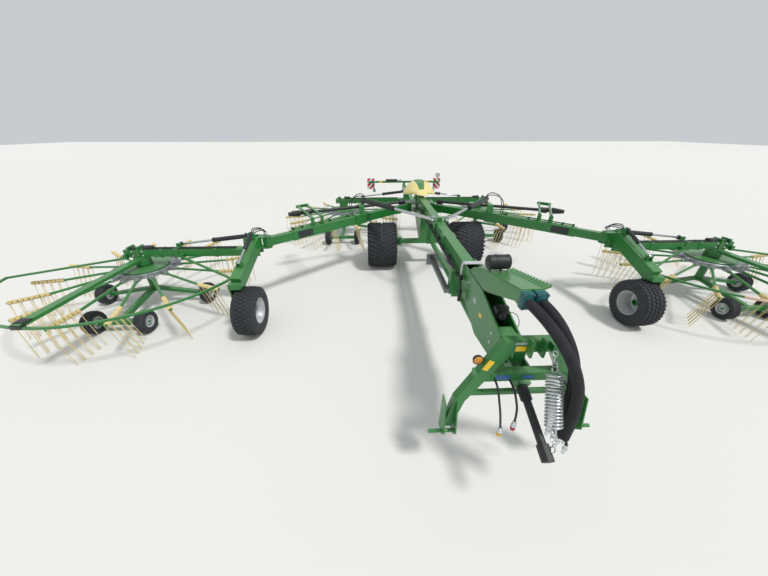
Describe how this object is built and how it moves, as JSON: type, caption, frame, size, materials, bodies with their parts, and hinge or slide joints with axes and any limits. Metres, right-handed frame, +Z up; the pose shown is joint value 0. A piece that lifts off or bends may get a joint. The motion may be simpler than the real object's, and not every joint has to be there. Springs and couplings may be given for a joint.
{
  "type": "four rotor hay rake",
  "caption": "Towed centre-swath rotary rake: long beam on a wide-tyred axle, two swept wings with rotors ahead on support wheels, further rotors behind, and an A-frame hitch.",
  "frame": {"origin": "on the ground under the middle of the bounding box, a quarter metre ahead of the main axle", "axes": "+X to the right of someone on the tractor who looks back, +Y to the rear, +Z up"},
  "size_m": [15.3112, 10.9987, 2],
  "materials": {
    "green_paint": "gloss paint",
    "cream_paint": "gloss paint",
    "tine_beige": "powder coated spring steel",
    "striped_board": "reflective board with red stripes",
    "tyre": "dusty rubber",
    "silver_rim": "silver paint",
    "black_guard": "moulded guard",
    "dark_cylinder": "dark paint",
    "chrome_rod": "polished",
    "zinc_spring": "zinc plated",
    "zinc_steel": "zinc plated",
    "cast_grey": "bare casting",
    "hose_black": "hose and woven sleeve",
    "clamp_teal": "moulded clamp",
    "plate_yellow": "blank plate",
    "lamp_red": "lens"
  },
  "bodies": {
    "frame": {"main_beam": "green_paint", "tower": "green_paint", "hood": "cream_paint", "rear_beam": "green_paint", "light_boards": "striped_board", "axle_beam": "green_paint", "drawbar_head": "green_paint", "hose_arm": "green_paint"},
    "hitch_block": {"hitch_block": "green_paint"},
    "hitch_frame": {"yoke": "green_paint", "pto_shaft": "black_guard", "chain_spring": "zinc_spring"},
    "jack": {"jack": "zinc_steel"},
    "steering_rod": {"steering_rod": "green_paint"},
    "knuckle_left": {"knuckle_left": "green_paint"},
    "main_wheel_left": {"main_tyre_left": "tyre", "main_rim_left": "silver_rim"},
    "wing_left": {"wing_beam_left": "green_paint", "drive_shaft_left": "black_guard"},
    "slide_tube_left": {"slide_tube_left": "green_paint"},
    "wing_head_left": {"wing_head_left": "green_paint"},
    "support_wheel_left": {"support_tyre_left": "tyre", "support_rim_left": "silver_rim"},
    "swing_barrel_left": {"swing_barrel_left": "dark_cylinder"},
    "swing_rod_left": {"swing_rod_left": "chrome_rod"},
    "front_arm_left": {"front_arm_left": "green_paint", "front_chassis_left": "green_paint"},
    "front_cylinder_left": {"front_cylinder_left": "dark_cylinder"},
    "front_rotor_left": {"front_rotor_left": "green_paint"},
    "front_rotor_front_wheels_left": {"front_rotor_front_wheels_left": "tyre"},
    "front_rotor_side_wheels_left": {"front_rotor_side_wheels_left": "tyre"},
    "rear_arm_left": {"rear_arm_left": "green_paint", "rear_chassis_left": "green_paint"},
    "rear_cylinder_left": {"rear_cylinder_left": "dark_cylinder"},
    "rear_rotor_left": {"rear_rotor_left": "green_paint"},
    "rear_rotor_front_wheels_left": {"rear_rotor_front_wheels_left": "tyre"},
    "rear_rotor_side_wheels_left": {"rear_rotor_side_wheels_left": "tyre"},
    "knuckle_right": {"knuckle_right": "green_paint"},
    "main_wheel_right": {"main_tyre_right": "tyre", "main_rim_right": "silver_rim"},
    "wing_right": {"wing_beam_right": "green_paint", "drive_shaft_right": "black_guard"},
    "slide_tube_right": {"slide_tube_right": "green_paint"},
    "wing_head_right": {"wing_head_right": "green_paint"},
    "support_wheel_right": {"support_tyre_right": "tyre", "support_rim_right": "silver_rim"},
    "swing_barrel_right": {"swing_barrel_right": "dark_cylinder"},
    "swing_rod_right": {"swing_rod_right": "chrome_rod"},
    "front_arm_right": {"front_arm_right": "green_paint", "front_chassis_right": "green_paint"},
    "front_cylinder_right": {"front_cylinder_right": "dark_cylinder"},
    "front_rotor_right": {"front_rotor_right": "green_paint"},
    "front_rotor_front_wheels_right": {"front_rotor_front_wheels_right": "tyre"},
    "front_rotor_side_wheels_right": {"front_rotor_side_wheels_right": "tyre"},
    "rear_arm_right": {"rear_arm_right": "green_paint", "rear_chassis_right": "green_paint"},
    "rear_cylinder_right": {"rear_cylinder_right": "dark_cylinder"},
    "rear_rotor_right": {"rear_rotor_right": "green_paint"},
    "rear_rotor_front_wheels_right": {"rear_rotor_front_wheels_right": "tyre"},
    "rear_rotor_side_wheels_right": {"rear_rotor_side_wheels_right": "tyre"}
  },
  "joints": [
    {"name": "hitch_turn", "type": "hinge", "parent": "frame", "child": "hitch_block", "pos_m": [0, -4.74, 1.265], "axis": [0, 0, 1], "range_deg": [-45, 45]},
    {"name": "hitch_tilt", "type": "hinge", "parent": "hitch_block", "child": "hitch_frame", "pos_m": [0, -4.74, 1.265], "axis": [1, 0, 0], "range_deg": [-12, 12]},
    {"name": "jack_fold", "type": "hinge", "parent": "frame", "child": "jack", "pos_m": [-0.225, -3.05, 1.08], "axis": [1, 0, 0], "range_deg": [-90, 0]},
    {"name": "steering_rod_slide", "type": "slide", "parent": "frame", "child": "steering_rod", "axis": [0, 1, 0], "range_m": [-0.12, 0.12]},
    {"name": "steer_left", "type": "hinge", "parent": "frame", "child": "knuckle_left", "pos_m": [-0.61, 0.25, 0.635], "axis": [0, 0, 1], "range_deg": [-20, 20]},
    {"name": "main_wheel_left_spin", "type": "hinge", "parent": "knuckle_left", "child": "main_wheel_left", "pos_m": [-1.05, 0.25, 0.545], "axis": [1, 0, 0], "continuous": true},
    {"name": "wing_left_swing", "type": "hinge", "parent": "frame", "child": "wing_left", "pos_m": [-0.3, 1.2, 1.26], "axis": [0, 0, 1], "range_deg": [0, 45]},
    {"name": "wing_left_slide", "type": "slide", "parent": "wing_left", "child": "slide_tube_left", "axis": [-0.7391, -0.6735, 0], "range_m": [-0.4, 0]},
    {"name": "wing_left_head_turn", "type": "hinge", "parent": "slide_tube_left", "child": "wing_head_left", "pos_m": [-3.26, -1.44, 1.26], "axis": [0, 0, -1], "range_deg": [0, 45]},
    {"name": "support_wheel_left_spin", "type": "hinge", "parent": "wing_head_left", "child": "support_wheel_left", "pos_m": [-3.365, -2.5, 0.415], "axis": [1, 0, 0], "continuous": true},
    {"name": "swing_barrel_left_pin", "type": "hinge", "parent": "wing_left", "child": "swing_barrel_left", "pos_m": [-1.52, 0.42, 1.612], "axis": [0, 0, -1], "range_deg": [0, 62]},
    {"name": "swing_rod_left_slide", "type": "slide", "parent": "swing_barrel_left", "child": "swing_rod_left", "axis": [-0.6277, 0.7784, 0], "range_m": [0, 1.03]},
    {"name": "front_lift_left", "type": "hinge", "parent": "wing_head_left", "child": "front_arm_left", "pos_m": [-3.6, -1.44, 1.08], "axis": [0, 1, 0], "range_deg": [0, 85]},
    {"name": "front_cylinder_left_pin", "type": "hinge", "parent": "wing_head_left", "child": "front_cylinder_left", "pos_m": [-3.6, -1.28, 1.33], "axis": [0, 1, 0], "range_deg": [0, 96]},
    {"name": "front_rotor_left_spin", "type": "hinge", "parent": "front_arm_left", "child": "front_rotor_left", "pos_m": [-5.66, -1.44, 0.75], "axis": [0, 0, 1], "continuous": true},
    {"name": "front_rotor_front_wheels_left_spin", "type": "hinge", "parent": "front_arm_left", "child": "front_rotor_front_wheels_left", "pos_m": [-5.66, -2.44, 0.2], "axis": [1, 0, 0], "continuous": true},
    {"name": "front_rotor_side_wheels_left_spin", "type": "hinge", "parent": "front_arm_left", "child": "front_rotor_side_wheels_left", "pos_m": [-5.66, -1.44, 0.2], "axis": [1, 0, 0], "continuous": true},
    {"name": "rear_lift_left", "type": "hinge", "parent": "frame", "child": "rear_arm_left", "pos_m": [-0.21, 2.85, 1.08], "axis": [0, 1, 0], "range_deg": [0, 85]},
    {"name": "rear_cylinder_left_pin", "type": "hinge", "parent": "frame", "child": "rear_cylinder_left", "pos_m": [-0.21, 3.01, 1.33], "axis": [0, 1, 0], "range_deg": [0, 96]},
    {"name": "rear_rotor_left_spin", "type": "hinge", "parent": "rear_arm_left", "child": "rear_rotor_left", "pos_m": [-2.2, 2.85, 0.75], "axis": [0, 0, 1], "continuous": true},
    {"name": "rear_rotor_front_wheels_left_spin", "type": "hinge", "parent": "rear_arm_left", "child": "rear_rotor_front_wheels_left", "pos_m": [-2.2, 1.85, 0.2], "axis": [1, 0, 0], "continuous": true},
    {"name": "rear_rotor_side_wheels_left_spin", "type": "hinge", "parent": "rear_arm_left", "child": "rear_rotor_side_wheels_left", "pos_m": [-2.2, 2.85, 0.2], "axis": [1, 0, 0], "continuous": true},
    {"name": "steer_right", "type": "hinge", "parent": "frame", "child": "knuckle_right", "pos_m": [0.61, 0.25, 0.635], "axis": [0, 0, 1], "range_deg": [-20, 20]},
    {"name": "main_wheel_right_spin", "type": "hinge", "parent": "knuckle_right", "child": "main_wheel_right", "pos_m": [1.05, 0.25, 0.545], "axis": [1, 0, 0], "continuous": true},
    {"name": "wing_right_swing", "type": "hinge", "parent": "frame", "child": "wing_right", "pos_m": [0.3, 1.2, 1.26], "axis": [0, 0, -1], "range_deg": [0, 45]},
    {"name": "wing_right_slide", "type": "slide", "parent": "wing_right", "child": "slide_tube_right", "axis": [0.7391, -0.6735, 0], "range_m": [-0.4, 0]},
    {"name": "wing_right_head_turn", "type": "hinge", "parent": "slide_tube_right", "child": "wing_head_right", "pos_m": [3.26, -1.44, 1.26], "axis": [0, 0, 1], "range_deg": [0, 45]},
    {"name": "support_wheel_right_spin", "type": "hinge", "parent": "wing_head_right", "child": "support_wheel_right", "pos_m": [3.365, -2.5, 0.415], "axis": [1, 0, 0], "continuous": true},
    {"name": "swing_barrel_right_pin", "type": "hinge", "parent": "wing_right", "child": "swing_barrel_right", "pos_m": [1.52, 0.42, 1.612], "axis": [0, 0, 1], "range_deg": [0, 62]},
    {"name": "swing_rod_right_slide", "type": "slide", "parent": "swing_barrel_right", "child": "swing_rod_right", "axis": [0.6277, 0.7784, 0], "range_m": [0, 1.03]},
    {"name": "front_lift_right", "type": "hinge", "parent": "wing_head_right", "child": "front_arm_right", "pos_m": [3.6, -1.44, 1.08], "axis": [0, -1, 0], "range_deg": [0, 85]},
    {"name": "front_cylinder_right_pin", "type": "hinge", "parent": "wing_head_right", "child": "front_cylinder_right", "pos_m": [3.6, -1.28, 1.33], "axis": [0, -1, 0], "range_deg": [0, 96]},
    {"name": "front_rotor_right_spin", "type": "hinge", "parent": "front_arm_right", "child": "front_rotor_right", "pos_m": [5.66, -1.44, 0.75], "axis": [0, 0, 1], "continuous": true},
    {"name": "front_rotor_front_wheels_right_spin", "type": "hinge", "parent": "front_arm_right", "child": "front_rotor_front_wheels_right", "pos_m": [5.66, -2.44, 0.2], "axis": [1, 0, 0], "continuous": true},
    {"name": "front_rotor_side_wheels_right_spin", "type": "hinge", "parent": "front_arm_right", "child": "front_rotor_side_wheels_right", "pos_m": [5.66, -1.44, 0.2], "axis": [1, 0, 0], "continuous": true},
    {"name": "rear_lift_right", "type": "hinge", "parent": "frame", "child": "rear_arm_right", "pos_m": [0.21, 2.85, 1.08], "axis": [0, -1, 0], "range_deg": [0, 85]},
    {"name": "rear_cylinder_right_pin", "type": "hinge", "parent": "frame", "child": "rear_cylinder_right", "pos_m": [0.21, 3.01, 1.33], "axis": [0, -1, 0], "range_deg": [0, 96]},
    {"name": "rear_rotor_right_spin", "type": "hinge", "parent": "rear_arm_right", "child": "rear_rotor_right", "pos_m": [2.2, 2.85, 0.75], "axis": [0, 0, 1], "continuous": true},
    {"name": "rear_rotor_front_wheels_right_spin", "type": "hinge", "parent": "rear_arm_right", "child": "rear_rotor_front_wheels_right", "pos_m": [2.2, 1.85, 0.2], "axis": [1, 0, 0], "continuous": true},
    {"name": "rear_rotor_side_wheels_right_spin", "type": "hinge", "parent": "rear_arm_right", "child": "rear_rotor_side_wheels_right", "pos_m": [2.2, 2.85, 0.2], "axis": [1, 0, 0], "continuous": true}
  ],
  "couplings": [
    {"joint": "steering_rod_slide", "follows": "hitch_turn", "m_per_rad": 0.15},
    {"joint": "steer_left", "follows": "hitch_turn", "ratio": -0.4},
    {"joint": "wing_left_head_turn", "follows": "wing_left_swing", "ratio": 1},
    {"joint": "swing_barrel_left_pin", "follows": "wing_left_swing", "ratio": 1.3324},
    {"joint": "swing_rod_left_slide", "follows": "wing_left_swing", "m_per_rad": 1.3033},
    {"joint": "front_cylinder_left_pin", "follows": "front_lift_left", "ratio": 1.122},
    {"joint": "rear_cylinder_left_pin", "follows": "rear_lift_left", "ratio": 1.122},
    {"joint": "steer_right", "follows": "hitch_turn", "ratio": -0.4},
    {"joint": "wing_right_head_turn", "follows": "wing_right_swing", "ratio": 1},
    {"joint": "swing_barrel_right_pin", "follows": "wing_right_swing", "ratio": 1.3324},
    {"joint": "swing_rod_right_slide", "follows": "wing_right_swing", "m_per_rad": 1.3033},
    {"joint": "front_cylinder_right_pin", "follows": "front_lift_right", "ratio": 1.122},
    {"joint": "rear_cylinder_right_pin", "follows": "rear_lift_right", "ratio": 1.122}
  ]
}
